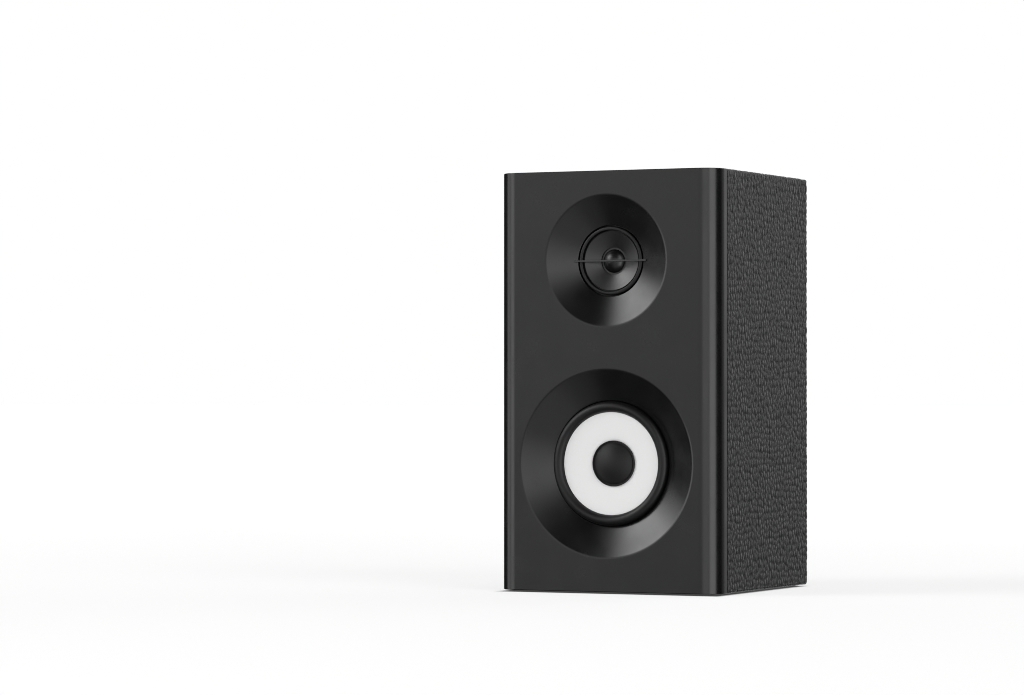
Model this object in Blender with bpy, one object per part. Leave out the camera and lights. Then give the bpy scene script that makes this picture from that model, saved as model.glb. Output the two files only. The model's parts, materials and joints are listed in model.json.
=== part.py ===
"""Two-way bookshelf speaker: a vinyl-wrapped wooden box behind a moulded front baffle.

Metres, +Z up. The front faces -Y. The origin is on the floor, under the middle of the box.
"Depth" is the distance behind the baffle's front face, and every turned driver part is drawn
as (radius, depth) points round its own axis.
"""

import math

import bmesh
import bpy
from mathutils import Vector

mm = 0.001

# Box
WIDTH = 140 * mm
BOX_HEIGHT = 245 * mm
BOX_DEPTH = 140 * mm
FOOT_HEIGHT = 1.0 * mm
REAR_FLANGE = 3.0 * mm
FRONT_Y = -(BOX_DEPTH + REAR_FLANGE) / 2
BACK_Y = FRONT_Y + BOX_DEPTH
BOTTOM_Z = FOOT_HEIGHT
TOP_Z = BOTTOM_Z + BOX_HEIGHT
GAP = 0.3 * mm
FILM = 0.5 * mm
FILM_EDGE = 1.3 * mm
BOARD = 9.0 * mm
FOOT_RADIUS = 8.0 * mm
FOOT_INSET = 16.0 * mm

# Baffle
BAFFLE_DEPTH = 15.0 * mm
BAFFLE_CORNER = 12.0 * mm
BAFFLE_SKIN = 3.0 * mm
BAFFLE_EDGE = 0.8 * mm
GROOVE = 1.0 * mm
BOX_FRONT = BAFFLE_DEPTH + GROOVE
TONGUE_DEPTH = 22.0 * mm
TONGUE_WALL = 2.6 * mm

# Drivers: heights of the axes, and the two conical waveguides
WOOFER_Z = BOTTOM_Z + 74.5 * mm
TWEETER_Z = BOTTOM_Z + 192.6 * mm
WOOFER_MOUTH, WOOFER_THROAT, WOOFER_CUP = 54.75 * mm, 36.7 * mm, 8.0 * mm
TWEETER_MOUTH, TWEETER_THROAT, TWEETER_CUP = 38.4 * mm, 20.8 * mm, 7.2 * mm
WOOFER_SEAT = 9.6 * mm
TWEETER_SEAT = 10.2 * mm
WOOFER_SCREW_CIRCLE = 44.2 * mm
TWEETER_SCREW_CIRCLE = 25.4 * mm
SCREW_HOLE = 1.7 * mm
FRAME_HOLE = 1.8 * mm
BAR_HALF_LENGTH = 22.9 * mm
BAR_HALF_HEIGHT = 0.55 * mm
BAR_FRONT, BAR_BACK = 5.7 * mm, 6.6 * mm
TWEETER_BLOCK_END = 22.0 * mm

# Motors and coils, all in mm. "front" is the depth of the top plate; a radius has no unit suffix.
MOTORS = {
    "woofer": dict(front=24.3, pole=9.9, slot=11.3, plate=27.5, bore=15.0, magnet=30.0,
                   plate_thick=4.0, magnet_thick=10.0, yoke_thick=4.1),
    "tweeter": dict(front=19.3, pole=5.95, slot=7.3, plate=15.0, bore=9.5, magnet=17.0,
                    plate_thick=3.0, magnet_thick=6.0, yoke_thick=3.0),
}
COILS = {
    "woofer": dict(bore=10.3, start=12.1, winding=23.0, end=29.5),
    "tweeter": dict(bore=6.3, start=12.9, winding=19.0, end=22.6),
}
FORMER_WALL = 0.3

# Back
PORT_Z = BOTTOM_Z + 184.0 * mm
PORT_BORE = 12.5 * mm
PORT_WALL = 2.0 * mm
PORT_FLARE = 5.0 * mm
PORT_FLANGE = 22.0 * mm
PORT_LENGTH = 62.0 * mm
CUP_Z = BOTTOM_Z + 62.0 * mm
CUP_FLANGE = (38.0 * mm, 28.0 * mm)
CUP_MOUTH = (26.0 * mm, 19.0 * mm)
CUP_WALL = 2.0 * mm
CUP_FLOOR = 2.5 * mm
CUP_DEPTH = 16.0 * mm
CUP_SCREWS = (32.5 * mm, 22.5 * mm)
POST_SPACING = 19.05 * mm
POST_STUD = 3.0 * mm
CUP_FLOOR_Y = BACK_Y + REAR_FLANGE - CUP_DEPTH
CIRCUIT_FRONT = CUP_FLOOR_Y - CUP_FLOOR - GAP
CIRCUIT_BACK = CIRCUIT_FRONT - 1.6 * mm

LEAD_RADIUS = 0.9 * mm
LEAD_SPACING = 5.0 * mm

# Segments round a full circle
LARGE, MEDIUM, SMALL = 44, 26, 12

MATERIALS = {
    "vinyl": ((0.020, 0.020, 0.021), 0.55, 0.0),
    "baffle": ((0.028, 0.028, 0.029), 0.38, 0.0),
    "board": ((0.42, 0.30, 0.19), 0.85, 0.0),
    "black_board": ((0.022, 0.021, 0.020), 0.75, 0.0),
    "white_cone": ((0.80, 0.80, 0.80), 0.60, 0.0),
    "black_paper": ((0.018, 0.018, 0.018), 0.60, 0.0),
    "gloss_black": ((0.010, 0.010, 0.010), 0.18, 0.0),
    "rubber": ((0.020, 0.020, 0.020), 0.55, 0.0),
    "foam": ((0.030, 0.030, 0.030), 0.95, 0.0),
    "steel_frame": ((0.03, 0.03, 0.032), 0.45, 0.6),
    "zinc": ((0.62, 0.62, 0.60), 0.35, 1.0),
    "ferrite": ((0.055, 0.052, 0.050), 0.60, 0.0),
    "coil": ((0.45, 0.17, 0.06), 0.35, 0.7),
    "spider_cloth": ((0.55, 0.33, 0.10), 0.85, 0.0),
    "black_plastic": ((0.022, 0.022, 0.023), 0.45, 0.0),
    "red_plastic": ((0.45, 0.015, 0.015), 0.35, 0.0),
    "gilt": ((0.80, 0.55, 0.20), 0.25, 1.0),
    "screw": ((0.05, 0.05, 0.05), 0.35, 0.8),
    "circuit_board": ((0.35, 0.22, 0.08), 0.50, 0.0),
    "capacitor": ((0.04, 0.05, 0.12), 0.35, 0.0),
    "ceramic": ((0.70, 0.68, 0.62), 0.80, 0.0),
    "wadding": ((0.75, 0.75, 0.73), 0.95, 0.0),
    "lead": ((0.30, 0.02, 0.02), 0.45, 0.0),
}


def clear_scene():
    for obj in list(bpy.data.objects):
        bpy.data.objects.remove(obj, do_unlink=True)


def make_materials():
    made = {}
    for name, (colour, roughness, metallic) in MATERIALS.items():
        material = bpy.data.materials.new(name)
        material.use_nodes = True
        shader = material.node_tree.nodes["Principled BSDF"]
        shader.inputs["Base Color"].default_value = (*colour, 1.0)
        shader.inputs["Roughness"].default_value = roughness
        shader.inputs["Metallic"].default_value = metallic
        made[name] = material
    return made


def empty(name, location):
    obj = bpy.data.objects.new(name, None)
    obj.empty_display_size = 10 * mm
    obj.location = location
    bpy.context.scene.collection.objects.link(obj)
    return obj


def add(name, bm, material, parent=None, location=(0, 0, 0), helper=False):
    """Turns a bmesh into a linked object, smooth on its round faces, or into a hidden helper."""
    bmesh.ops.recalc_face_normals(bm, faces=bm.faces)
    mesh = bpy.data.meshes.new(name)
    bm.to_mesh(mesh)
    bm.free()
    mesh.shade_smooth()
    mesh.set_sharp_from_angle(angle=math.radians(35))
    obj = bpy.data.objects.new(name, mesh)
    obj.location = location
    obj.parent = parent
    bpy.context.scene.collection.objects.link(obj)
    if helper:
        obj.hide_render = True
        obj.display_type = "WIRE"
    else:
        mesh.materials.append(material)
    return obj


def boolean(obj, other, operation):
    modifier = obj.modifiers.new(f"{operation.lower()} {other.name}", "BOOLEAN")
    modifier.operation = operation
    modifier.solver = "EXACT"
    modifier.object = other


def settle(obj, sharp=20):
    """Fixes an object's Booleans into its mesh, and marks its edges over "sharp" degrees."""
    graph = bpy.context.evaluated_depsgraph_get()
    mesh = bpy.data.meshes.new_from_object(obj.evaluated_get(graph))
    obj.modifiers.clear()
    obj.data = mesh
    mesh.shade_smooth()
    mesh.set_sharp_from_angle(angle=math.radians(sharp))


def arc(centre, radius, start, end, steps):
    """Points of an arc from start to end degrees, both ends included."""
    points = []
    for i in range(steps + 1):
        angle = math.radians(start + (end - start) * i / steps)
        points.append((centre[0] + radius * math.cos(angle), centre[1] + radius * math.sin(angle)))
    return points


def circle(centre, radius, segments):
    return arc(centre, radius, 0, 360 - 360 / segments, segments - 1)


def turned_bmesh(profile, segments):
    """Revolves (radius, depth) points about the local Y axis. A profile that begins and ends on
    the axis stays an open chain; any other is closed into a ring."""
    bm = bmesh.new()
    verts = [bm.verts.new((radius, depth, 0.0)) for radius, depth in profile]
    for first, second in zip(verts, verts[1:]):
        bm.edges.new((first, second))
    if profile[0][0] > 0:
        bm.edges.new((verts[-1], verts[0]))
    bmesh.ops.spin(
        bm,
        geom=bm.verts[:] + bm.edges[:],
        cent=(0, 0, 0),
        axis=(0, 1, 0),
        angle=2 * math.pi,
        steps=segments,
        use_merge=True,
        use_duplicate=False,
    )
    bmesh.ops.remove_doubles(bm, verts=bm.verts, dist=1e-6)
    bmesh.ops.dissolve_degenerate(bm, edges=bm.edges, dist=1e-7)
    return bm


def turned(name, profile, segments, material, parent, offset=(0, 0, 0), helper=False):
    return add(name, turned_bmesh(profile, segments), material, parent, offset, helper)


def prism(name, outline, low, high, axis, material, parent=None, location=(0, 0, 0), helper=False):
    """Extrudes an outline from low to high along an axis. The outline's two numbers are X and Z
    where the axis is Y, and X and Y where it is Z."""
    bm = bmesh.new()
    place = {"Y": lambda a, b, c: (a, c, b), "Z": lambda a, b, c: (a, b, c)}[axis]
    base = bm.faces.new([bm.verts.new(place(a, b, low)) for a, b in outline])
    swept = bmesh.ops.extrude_face_region(bm, geom=[base])
    moved = [item for item in swept["geom"] if isinstance(item, bmesh.types.BMVert)]
    bmesh.ops.translate(bm, verts=moved, vec=Vector(place(0, 0, high - low)))
    return add(name, bm, material, parent, location, helper)


def rectangle(half_x, half_z, radius=0.0, steps=4, centre=(0.0, 0.0)):
    """Outline of a rectangle, with round corners where a radius is given."""
    if not radius:
        corners = [(half_x, half_z), (-half_x, half_z), (-half_x, -half_z), (half_x, -half_z)]
        return [(centre[0] + x, centre[1] + z) for x, z in corners]
    points = []
    for quarter, (sx, sz) in enumerate([(1, 1), (-1, 1), (-1, -1), (1, -1)]):
        middle = (centre[0] + sx * (half_x - radius), centre[1] + sz * (half_z - radius))
        points += arc(middle, radius, 90 * quarter, 90 * quarter + 90, steps)
    return points


def box(name, low, high, material, parent=None, helper=False):
    """A block between two corners."""
    outline = [(low[0], low[2]), (high[0], low[2]), (high[0], high[2]), (low[0], high[2])]
    return prism(name, outline, low[1], high[1], "Y", material, parent, helper=helper)


def round_cutter(name, radius, low_y, high_y, x, z, segments=SMALL):
    profile = [(0.0, low_y), (radius, low_y), (radius, high_y), (0.0, high_y)]
    return turned(name, profile, segments, None, None, (x, 0, z), helper=True)


def screw(name, head_radius, head_height, shank_length, material, parent, at):
    """A pan-head screw along Y. The local origin is where its head seats; the shank points to -Y."""
    shank_radius = SCREW_HOLE - GAP
    profile = [
        (0.0, head_height),
        (head_radius * 0.8, head_height),
        (head_radius, head_height * 0.45),
        (head_radius, 0.0),
        (shank_radius, 0.0),
        (shank_radius, shank_radius - shank_length),
        (0.0, -shank_length),
    ]
    return turned(name, profile, SMALL, material, parent, at)


# ---------------------------------------------------------------- cabinet

def wall_outlines():
    """Mitred cross-sections, in X and Z, of the four boards that fold round the box."""
    out_x = WIDTH / 2 - FILM - GAP
    low, high = BOTTOM_Z + FILM + GAP, TOP_Z - FILM - GAP
    in_x, in_low, in_high = out_x - BOARD, low + BOARD, high - BOARD
    slack = GAP / 2
    side = [(out_x, low + slack), (out_x, high - slack), (in_x, in_high - slack), (in_x, in_low + slack)]
    long, short = out_x - slack, in_x - slack
    return {
        "side_panel_right": side,
        "side_panel_left": [(-x, z) for x, z in side],
        "top_panel": [(long, high), (-long, high), (-short, in_high), (short, in_high)],
        "bottom_panel": [(long, low), (-long, low), (-short, in_low), (short, in_low)],
    }


def make_walls(mat, parent):
    for name, outline in wall_outlines().items():
        prism(name, outline, FRONT_Y + BOX_FRONT, BACK_Y - FILM - GAP, "Y", mat["board"], parent)


def make_back_panel(mat, parent):
    half_x = WIDTH / 2 - FILM - GAP - BOARD - GAP
    half_z = BOX_HEIGHT / 2 - FILM - GAP - BOARD - GAP
    middle = (0.0, (BOTTOM_Z + TOP_Z) / 2)
    outline = rectangle(half_x, half_z, centre=middle)
    panel = prism("back_panel", outline, BACK_Y - BOARD, BACK_Y, "Y", mat["black_board"], parent)
    past = 5 * mm
    low, high = BACK_Y - BOARD - past, BACK_Y + past
    port_hole = round_cutter("port_hole", PORT_BORE + PORT_WALL + GAP, low, high, 0, PORT_Z, MEDIUM)
    boolean(panel, port_hole, "DIFFERENCE")
    clear = CUP_WALL + GAP
    opening = rectangle(CUP_MOUTH[0] + clear, CUP_MOUTH[1] + clear, centre=(0.0, CUP_Z))
    boolean(panel, prism("cup_hole", opening, low, high, "Y", None, helper=True), "DIFFERENCE")
    for index, (x, z) in enumerate(cup_screw_places()):
        hole = round_cutter(f"pilot_{index}", SCREW_HOLE, BACK_Y - 7.5 * mm, high, x, z)
        boolean(panel, hole, "DIFFERENCE")
    settle(panel)


def film_loop(inset, y, radius):
    half_x, half_z = WIDTH / 2 - inset, BOX_HEIGHT / 2 - inset
    outline = rectangle(half_x, half_z, radius, 3, (0.0, (BOTTOM_Z + TOP_Z) / 2))
    return [(x, y, z) for x, z in outline]


def make_film(mat, parent):
    """Leather-grain film round all four walls, turned in over their rear edges."""
    front, back = FRONT_Y + BOX_FRONT, BACK_Y
    inner_edge = FILM_EDGE - FILM
    loops = [
        film_loop(0.0, front, FILM_EDGE),
        film_loop(0.0, back - FILM, FILM_EDGE),
        film_loop(FILM, back, FILM_EDGE),
        film_loop(FILM + BOARD - 0.2 * mm, back, inner_edge),
        film_loop(FILM + BOARD - 0.2 * mm, back - FILM, inner_edge),
        film_loop(FILM, back - FILM, inner_edge),
        film_loop(FILM, front, inner_edge),
    ]
    bm = bmesh.new()
    rings = [[bm.verts.new(point) for point in loop] for loop in loops]
    for ring, following in zip(rings, rings[1:] + rings[:1]):
        for i in range(len(ring)):
            j = (i + 1) % len(ring)
            bm.faces.new((ring[i], ring[j], following[j], following[i]))
    add("vinyl_wrap", bm, mat["vinyl"], parent)


def make_feet(mat, parent):
    half = WIDTH / 2 - FOOT_INSET
    rows = (FRONT_Y + BOX_FRONT + FOOT_INSET, BACK_Y - FOOT_INSET)
    places = [(x, y) for y in rows for x in (-half, half)]
    for index, place in enumerate(places):
        outline = circle(place, FOOT_RADIUS, 20)
        prism(f"foot_pad_{index + 1}", outline, 0.0, FOOT_HEIGHT - GAP, "Z", mat["foam"], parent)


# ---------------------------------------------------------------- baffle

def baffle_outline(inset, corner, back):
    """Plan of the baffle, in X and Y: flat front, round vertical edges, straight sides."""
    half = WIDTH / 2 - inset
    front = FRONT_Y + inset
    left = arc((-half + corner, front + corner), corner, 180, 270, 8)
    right = arc((half - corner, front + corner), corner, 270, 360, 8)
    return [(-half, FRONT_Y + back)] + left + right + [(half, FRONT_Y + back)]


def soften_ends(obj):
    """Rounds the edges where the baffle's top and bottom faces meet its front and sides."""
    bm = bmesh.new()
    bm.from_mesh(obj.data)
    rear = FRONT_Y + BAFFLE_DEPTH - 0.01 * mm
    edges = []
    for edge in bm.edges:
        a, b = (vert.co for vert in edge.verts)
        level = abs(a.z - b.z) < 1e-6
        if level and not (a.y > rear and b.y > rear):
            edges.append(edge)
    bmesh.ops.bevel(bm, geom=edges, offset=BAFFLE_EDGE, segments=2, profile=0.5, affect="EDGES")
    bm.to_mesh(obj.data)
    bm.free()


def waveguide_block(name, mouth, wall, seat, seat_radius, z):
    """The solid behind a waveguide: it carries the cone wall and the driver's seat."""
    profile = [
        (0.0, 1.5 * mm),
        (mouth + wall, 1.5 * mm),
        (seat_radius, seat),
        (0.0, seat),
    ]
    return turned(name, profile, LARGE, None, None, (0, FRONT_Y, z), helper=True)


def waveguide_cutter(name, mouth, throat, cup, z):
    """The conical mouth and the hole behind it. It begins a little in front of the face."""
    slope = (mouth - throat) / cup
    lead = 1.0 * mm
    profile = [
        (0.0, -lead),
        (mouth + slope * lead, -lead),
        (throat, cup),
        (throat, 20 * mm),
        (0.0, 20 * mm),
    ]
    return turned(name, profile, LARGE, None, None, (0, FRONT_Y, z), helper=True)


def woofer_screw_places(z):
    return [polar(WOOFER_SCREW_CIRCLE, 45 + 90 * i, z) for i in range(4)]


def tweeter_screw_places(z):
    return [polar(TWEETER_SCREW_CIRCLE, 45 + 180 * i, z) for i in range(2)]


def polar(radius, degrees, z):
    angle = math.radians(degrees)
    return radius * math.cos(angle), z + radius * math.sin(angle)


def make_baffle(mat, parent):
    outline = baffle_outline(0.0, BAFFLE_CORNER, BAFFLE_DEPTH)
    baffle = prism("front_baffle", outline, BOTTOM_Z, TOP_Z, "Z", mat["baffle"], parent)
    soften_ends(baffle)

    middle = (0.0, (BOTTOM_Z + TOP_Z) / 2)
    step = rectangle(WIDTH / 2 - 1.5 * mm, BOX_HEIGHT / 2 - 1.5 * mm, centre=middle)
    rear = FRONT_Y + BAFFLE_DEPTH
    rim = prism("rear_step", step, rear - 2 * mm, rear + GROOVE - GAP, "Y", None, helper=True)
    boolean(baffle, rim, "UNION")

    clear = FILM + GAP + BOARD + 0.4 * mm
    tongue_x, tongue_z = WIDTH / 2 - clear, BOX_HEIGHT / 2 - clear
    tongue = rectangle(tongue_x, tongue_z, 3 * mm, 3, middle)
    tongue_end = FRONT_Y + TONGUE_DEPTH
    boolean(baffle, prism("tongue", tongue, rear - 3 * mm, tongue_end, "Y", None, helper=True), "UNION")
    pocket = rectangle(tongue_x - TONGUE_WALL, tongue_z - TONGUE_WALL, 2 * mm, 3, middle)
    skin = FRONT_Y + BAFFLE_SKIN
    hollow = prism("pocket", pocket, skin, tongue_end + 5 * mm, "Y", None, helper=True)
    boolean(baffle, hollow, "DIFFERENCE")

    blocks = [
        waveguide_block("woofer_block", WOOFER_MOUTH, 2.0 * mm, WOOFER_SEAT, 49.0 * mm, WOOFER_Z),
        waveguide_block("tweeter_block", TWEETER_MOUTH, 2.6 * mm, TWEETER_SEAT, 29.0 * mm, TWEETER_Z),
    ]
    for block in blocks:
        boolean(baffle, block, "UNION")
    cutters = [
        waveguide_cutter("woofer_cutter", WOOFER_MOUTH, WOOFER_THROAT, WOOFER_CUP, WOOFER_Z),
        waveguide_cutter("tweeter_cutter", TWEETER_MOUTH, TWEETER_THROAT, TWEETER_CUP, TWEETER_Z),
    ]
    for side in (-1, 1):
        near, far = sorted((side * 19.5 * mm, side * (BAR_HALF_LENGTH + GAP)))
        half = BAR_HALF_HEIGHT + GAP
        low = (near, FRONT_Y + 1 * mm, TWEETER_Z - half)
        high = (far, FRONT_Y + BAR_BACK + GAP, TWEETER_Z + half)
        cutters.append(box(f"bar_notch_{side}", low, high, None, helper=True))
    drill = [(x, z, WOOFER_SEAT, 3.6 * mm) for x, z in woofer_screw_places(WOOFER_Z)]
    drill += [(x, z, TWEETER_SEAT, 3.3 * mm) for x, z in tweeter_screw_places(TWEETER_Z)]
    for index, (x, z, seat, deep) in enumerate(drill):
        low_y, high_y = FRONT_Y + seat - deep, FRONT_Y + seat + 3 * mm
        cutters.append(round_cutter(f"boss_{index}", SCREW_HOLE, low_y, high_y, x, z))
    for cutter in cutters:
        boolean(baffle, cutter, "DIFFERENCE")
    settle(baffle)


# ---------------------------------------------------------------- drivers

def ring_profile(inner, outer, near, far):
    return [(inner, near), (outer, near), (outer, far), (inner, far)]


def half_roll(name, middle, roll, foot, wall, inner, outer, segments, material, parent):
    """Half-roll edge of a cone. "inner" and "outer" are the radius and front depth of its glued rims."""
    near, far = middle - roll, middle + roll
    profile = [(inner[0], inner[1] + wall), inner, (near, inner[1])]
    profile += arc((middle, foot), roll, 180, 360, 6)
    profile += [(far, outer[1]), outer, (outer[0], outer[1] + wall), (far - wall, outer[1] + wall)]
    profile += arc((middle, foot), roll - wall, 360, 180, 6)
    profile += [(near + wall, inner[1] + wall)]
    return turned(name, profile, segments, material, parent)


def dome(rim, base, crest, wall, steps):
    """Outside and inside profiles of a thin spherical cap that stands towards the front."""
    rise = base - crest
    sphere = (rim * rim + rise * rise) / (2 * rise)
    centre = crest + sphere
    reach = math.degrees(math.asin(rim / sphere))
    outside = arc((0.0, centre), sphere, -90, -90 + reach, steps)
    inside = arc((0.0, centre), sphere - wall, -90 + reach, -90, steps)
    outside[0] = (0.0, crest)
    inside[-1] = (0.0, crest + wall)
    return outside, inside


def make_cone(name, rim, neck, wall, material, parent):
    """"rim" and "neck" are the radius and front depth of the cone's two edges."""
    profile = [rim, (rim[0], rim[1] + wall), (neck[0], neck[1] + wall), neck]
    turned(name, profile, LARGE, material, parent)


def make_coil(prefix, mat, parent):
    size = COILS[prefix]
    bore, former, winding = (size["bore"] + FORMER_WALL * i for i in range(3))
    profile = [
        (bore, size["start"]), (former, size["start"]), (former, size["winding"]),
        (winding, size["winding"]), (winding, size["end"]), (bore, size["end"]),
    ]
    profile = [(radius * mm, depth * mm) for radius, depth in profile]
    turned(f"{prefix}_voice_coil", profile, MEDIUM, mat["coil"], parent)


def make_motor(prefix, mat, parent):
    """Top plate, ring magnet, and a yoke whose pole stands inside the voice coil."""
    size = {key: value * mm for key, value in MOTORS[prefix].items()}
    plate_back = size["front"] + size["plate_thick"]
    magnet_front = plate_back + GAP
    magnet_back = magnet_front + size["magnet_thick"]
    yoke_front = magnet_back + GAP
    yoke_back = yoke_front + size["yoke_thick"]
    plate = ring_profile(size["slot"], size["plate"], size["front"], plate_back)
    turned(f"{prefix}_top_plate", plate, MEDIUM, mat["zinc"], parent)
    magnet = ring_profile(size["bore"], size["magnet"], magnet_front, magnet_back)
    turned(f"{prefix}_magnet", magnet, MEDIUM, mat["ferrite"], parent)
    yoke = [
        (0.0, size["front"]), (size["pole"], size["front"]), (size["pole"], yoke_front),
        (size["plate"], yoke_front), (size["plate"], yoke_back - mm), (size["plate"] - mm, yoke_back),
        (0.0, yoke_back),
    ]
    turned(f"{prefix}_yoke", yoke, MEDIUM, mat["zinc"], parent)


def drill_flange(obj, prefix, places, at):
    """Screw holes through a driver's flange, and the hidden cutters that make them."""
    low, high = 9 * mm, 14 * mm
    for index, (x, z) in enumerate(places):
        profile = [(0.0, low), (FRAME_HOLE, low), (FRAME_HOLE, high), (0.0, high)]
        name = f"{prefix}_hole_{index}"
        boolean(obj, turned(name, profile, SMALL, None, at, (x, 0, z), helper=True), "DIFFERENCE")


def make_woofer_frame(mat, at):
    """Pressed steel basket: flange, windowed cone, spider shelf and rear seat."""
    front, back = 10.8 * mm, 12.0 * mm
    shelf, seat = 19.6 * mm, 23.0 * mm
    sheet = back - front
    profile = [
        (37.4 * mm, front), (28.4 * mm, shelf), (24.6 * mm, shelf), (24.0 * mm, seat),
        (12.0 * mm, seat), (12.0 * mm, seat + mm), (25.0 * mm, seat + mm), (25.6 * mm, shelf + sheet),
        (29.4 * mm, shelf + sheet), (38.6 * mm, back), (47.0 * mm, back), (47.0 * mm, front),
    ]
    frame = turned("woofer_frame", profile, LARGE, mat["steel_frame"], at)
    window_middle, window_height = 16.2 * mm, 5.4 * mm
    for index in range(4):
        window = rectangle(11 * mm, window_height / 2, 1 * mm, 3, (0.0, window_middle))
        cutter = prism(f"window_{index}", window, 28.8 * mm, 45 * mm, "Z", None, at, helper=True)
        cutter.rotation_euler = (0, math.pi / 2 * index, 0)
        boolean(frame, cutter, "DIFFERENCE")
    drill_flange(frame, "frame", woofer_screw_places(0.0), at)
    settle(frame)


def make_spider(mat, at):
    """Corrugated cloth disc between the coil's former and the frame's shelf."""
    waves, wave_height, wall = 3, 0.6 * mm, 0.5 * mm
    inner, outer, level = 12.4 * mm, 25.0 * mm, 18.8 * mm
    steps = 4 * waves
    face = [(10.9 * mm, level)]
    for i in range(steps + 1):
        radius = inner + (outer - inner) * i / steps
        face.append((radius, level + wave_height * math.sin(math.pi * i / 2)))
    face.append((28.0 * mm, level))
    rear = [(radius, depth + wall) for radius, depth in reversed(face)]
    turned("woofer_spider", face + rear, MEDIUM, mat["spider_cloth"], at)


def make_woofer(mat, at, moving):
    make_woofer_frame(mat, at)
    make_spider(mat, at)
    inner, outer = (28.4 * mm, 8.8 * mm), (41.0 * mm, 9.9 * mm)
    half_roll(
        "woofer_surround", 33.2 * mm, 3.1 * mm, 7.5 * mm, 0.6 * mm, inner, outer, LARGE, mat["rubber"], at
    )
    gasket_profile = ring_profile(41.3 * mm, 46.8 * mm, 9.9 * mm, 10.5 * mm)
    gasket = turned("woofer_gasket", gasket_profile, LARGE, mat["foam"], at)
    drill_flange(gasket, "gasket", woofer_screw_places(0.0), at)
    settle(gasket)

    rim, neck = (29.8 * mm, 7.5 * mm), (10.9 * mm, 12.6 * mm)
    make_cone("woofer_cone", rim, neck, 0.6 * mm, mat["white_cone"], moving)
    cap_back = 11.6 * mm
    outside, inside = dome(12.3 * mm, cap_back - 0.5 * mm, 7.4 * mm, 0.5 * mm, 5)
    flange = [(13.4 * mm, cap_back - 0.5 * mm), (13.4 * mm, cap_back)]
    turned("woofer_dust_cap", outside + flange + inside, MEDIUM, mat["black_paper"], moving)
    make_coil("woofer", mat, moving)
    make_motor("woofer", mat, at)

    seat = 12.3 * mm
    low, high = (-8 * mm, seat, 40 * mm), (8 * mm, 22 * mm, 41.2 * mm)
    box("woofer_tag_strip", low, high, mat["circuit_board"], at)
    for index, (x, z) in enumerate(woofer_screw_places(0.0)):
        name = f"woofer_screw_{index + 1}"
        screw(name, 2.8 * mm, 2.0 * mm, 6.0 * mm, mat["screw"], at, (x, seat, z))


def make_tweeter(mat, at, moving):
    can, wall, front, rear = 18.6 * mm, 1.0 * mm, 10.5 * mm, 19.0 * mm
    profile = [
        (can - wall, front), (can - wall, rear - wall), (8.0 * mm, rear - wall), (8.0 * mm, rear),
        (can, rear), (can, front + wall), (28.8 * mm, front + wall), (28.8 * mm, front),
    ]
    frame = turned("tweeter_frame", profile, LARGE, mat["black_plastic"], at)
    low, high = (-6 * mm, front + 0.5 * mm, -TWEETER_BLOCK_END), (6 * mm, 17 * mm, wall - can)
    boolean(frame, box("tweeter_terminal_block", low, high, None, at, helper=True), "UNION")
    drill_flange(frame, "tweeter", tweeter_screw_places(0.0), at)
    settle(frame)
    for index, (x, z) in enumerate(tweeter_screw_places(0.0)):
        name = f"tweeter_screw_{index + 1}"
        screw(name, 2.6 * mm, 1.8 * mm, 4.6 * mm, mat["screw"], at, (x, front + wall + GAP, z))

    inner, outer = (15.8 * mm, 9.4 * mm), (20.5 * mm, 9.8 * mm)
    half_roll(
        "tweeter_ring", 19.15 * mm, 1.2 * mm, 8.1 * mm, 0.4 * mm, inner, outer, MEDIUM, mat["rubber"], at
    )
    low = (-BAR_HALF_LENGTH, BAR_FRONT, -BAR_HALF_HEIGHT)
    box("tweeter_bar", low, (BAR_HALF_LENGTH, BAR_BACK, BAR_HALF_HEIGHT), mat["baffle"], at)

    rim, neck = (17.0 * mm, 8.2 * mm), (7.4 * mm, 11.6 * mm)
    make_cone("tweeter_cone", rim, neck, 0.4 * mm, mat["black_paper"], moving)
    outside, inside = dome(6.5 * mm, 12.3 * mm, 8.2 * mm, 0.4 * mm, 5)
    flange = [(8.2 * mm, 12.3 * mm), (8.2 * mm, 12.7 * mm)]
    turned("tweeter_dome", outside + flange + inside, MEDIUM, mat["gloss_black"], moving)
    make_coil("tweeter", mat, moving)
    make_motor("tweeter", mat, at)


# ---------------------------------------------------------------- back

def cup_screw_places():
    return [(sx * CUP_SCREWS[0], CUP_Z + sz * CUP_SCREWS[1]) for sz in (1, -1) for sx in (-1, 1)]


def make_port(mat, parent):
    """Flared bass-reflex tube with a flange that rests on the back panel."""
    lip = BACK_Y + REAR_FLANGE
    inner_end = lip - PORT_LENGTH
    inner_flare = PORT_FLARE * 0.6
    outside, edge = PORT_BORE + PORT_WALL, 1.2 * mm
    profile = arc((PORT_BORE + inner_flare, inner_end + inner_flare), inner_flare, 270, 180, 4)
    profile += arc((PORT_BORE + PORT_FLARE, lip - PORT_FLARE), PORT_FLARE, 180, 90, 5)
    profile += [(PORT_FLANGE - edge, lip), (PORT_FLANGE, lip - edge), (PORT_FLANGE, BACK_Y + GAP)]
    profile += [(outside, BACK_Y + GAP), (outside, inner_end + inner_flare + mm)]
    profile += [(PORT_BORE + inner_flare + 0.6 * mm, inner_end + 1.4 * mm)]
    turned("port_tube", profile, MEDIUM, mat["black_plastic"], parent, (0, 0, PORT_Z))


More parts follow.
